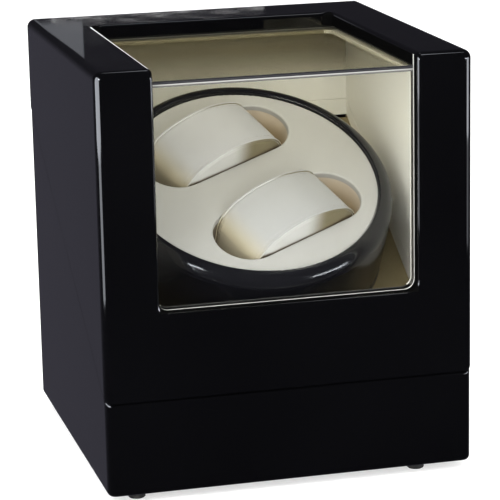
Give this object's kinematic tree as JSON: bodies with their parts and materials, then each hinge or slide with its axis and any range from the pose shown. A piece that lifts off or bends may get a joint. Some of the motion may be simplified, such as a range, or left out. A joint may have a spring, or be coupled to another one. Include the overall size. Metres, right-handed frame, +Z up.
{
  "type": "watch winder box",
  "caption": "Lacquered watch winder box: slanted seam, hinged lid with a clear front-and-top window, tilted motor-driven turntable with removable watch cushions.",
  "frame": {"origin": "under the middle of the whole box, hinge barrels included, on the floor plane under the feet", "axes": "+Z up, the windowed front faces -Y, the hinge axis lies along X at the back"},
  "size_m": [0.175, 0.1772, 0.2],
  "materials": {
    "lacquer": "black piano lacquer, high gloss",
    "acrylic": "clear polished acrylic",
    "lining": "fine-grained beige leatherette",
    "face": "smooth off-white leatherette",
    "cushion": "soft off-white leatherette over foam",
    "cup": "matt beige leatherette",
    "drum": "black, high gloss",
    "cover": "satin black",
    "timber": "bare planed wood",
    "rubber": "matt black",
    "steel": "machined steel",
    "screw": "blackened steel",
    "hinge": "nickel plate",
    "bronze": "sintered bronze",
    "gear": "moulded acetal",
    "nylon": "moulded nylon",
    "motor": "zinc-plated can",
    "board": "green solder mask",
    "components": "moulded black",
    "tray": "fine spark texture",
    "control": "black, semi-gloss"
  },
  "bodies": {
    "base": {"base_case": "lacquer", "glue_blocks": "timber", "bottom_cover": "cover", "feet": "rubber", "foot_screws": "screw", "cover_screws": "screw", "base_lining": "lining", "deck_panel": "lining", "deck_cleats": "timber", "hinge_leaves_base": "hinge", "hinge_screws_base": "hinge", "hinge_pins": "hinge", "bearing_housing": "nylon", "housing_screws": "steel", "shaft_bushes": "bronze", "thrust_washer": "nylon", "mechanism_plate": "steel", "plate_spacers": "nylon", "plate_screws": "steel", "motor_gearbox": "motor", "motor_can": "motor", "motor_screws": "steel", "board_standoffs": "nylon", "control_board": "board", "board_screws": "steel", "board_parts": "components", "rear_tray": "tray", "tray_screws": "screw", "dc_inlet": "control", "rocker_housing": "control", "slide_switch": "control", "dial_potentiometer": "motor"},
    "lid": {"lid_frame": "lacquer", "top_pane": "acrylic", "front_pane": "acrylic", "lid_lining": "lining", "hinge_leaves_lid": "hinge", "hinge_screws_lid": "hinge"},
    "turntable": {"drum_shell": "drum", "hub_washer": "steel", "hub_screw": "steel", "drum_bezel": "drum", "face_plate": "face", "well_cup_front": "cup", "well_cup_rear": "cup", "turntable_shaft": "steel", "drive_gear": "gear", "shaft_clips": "screw"},
    "cushion_front": {"cushion_front": "cushion"},
    "cushion_rear": {"cushion_rear": "cushion"},
    "pinion": {"pinion": "gear", "motor_output_shaft": "steel"},
    "power_rocker": {"power_rocker": "control"},
    "direction_slider": {"direction_slider": "control"},
    "program_dial": {"program_dial": "control", "dial_shaft": "steel"}
  },
  "joints": [
    {"name": "lid_hinge", "type": "hinge", "parent": "base", "child": "lid", "pos_m": [0, 0.08637, 0.15685], "axis": [-1, 0, 0], "range_deg": [0, 85]},
    {"name": "turntable_spin", "type": "hinge", "parent": "base", "child": "turntable", "pos_m": [0, -0.00213, 0.10155], "axis": [0, -0.5299, 0.848], "continuous": true},
    {"name": "pinion_spin", "type": "hinge", "parent": "base", "child": "pinion", "pos_m": [0.045, -0.00213, 0.10155], "axis": [0, -0.5299, 0.848], "continuous": true},
    {"name": "cushion_front_lift", "type": "slide", "parent": "turntable", "child": "cushion_front", "axis": [0, -0.5299, 0.848], "range_m": [0, 0.02]},
    {"name": "cushion_rear_lift", "type": "slide", "parent": "turntable", "child": "cushion_rear", "axis": [0, -0.5299, 0.848], "range_m": [0, 0.02]},
    {"name": "power_rocker_tip", "type": "hinge", "parent": "base", "child": "power_rocker", "pos_m": [0.015, 0.07408, 0.042], "axis": [-1, 0, 0], "range_deg": [0, 16]},
    {"name": "direction_slide", "type": "slide", "parent": "base", "child": "direction_slider", "axis": [1, 0, 0], "range_m": [-0.00225, 0.00225]},
    {"name": "program_dial_turn", "type": "hinge", "parent": "base", "child": "program_dial", "pos_m": [-0.025, 0.07408, 0.042], "axis": [0, 1, 0], "range_deg": [-135, 135]}
  ],
  "couplings": [
    {"joint": "pinion_spin", "follows": "turntable_spin", "ratio": -5}
  ]
}
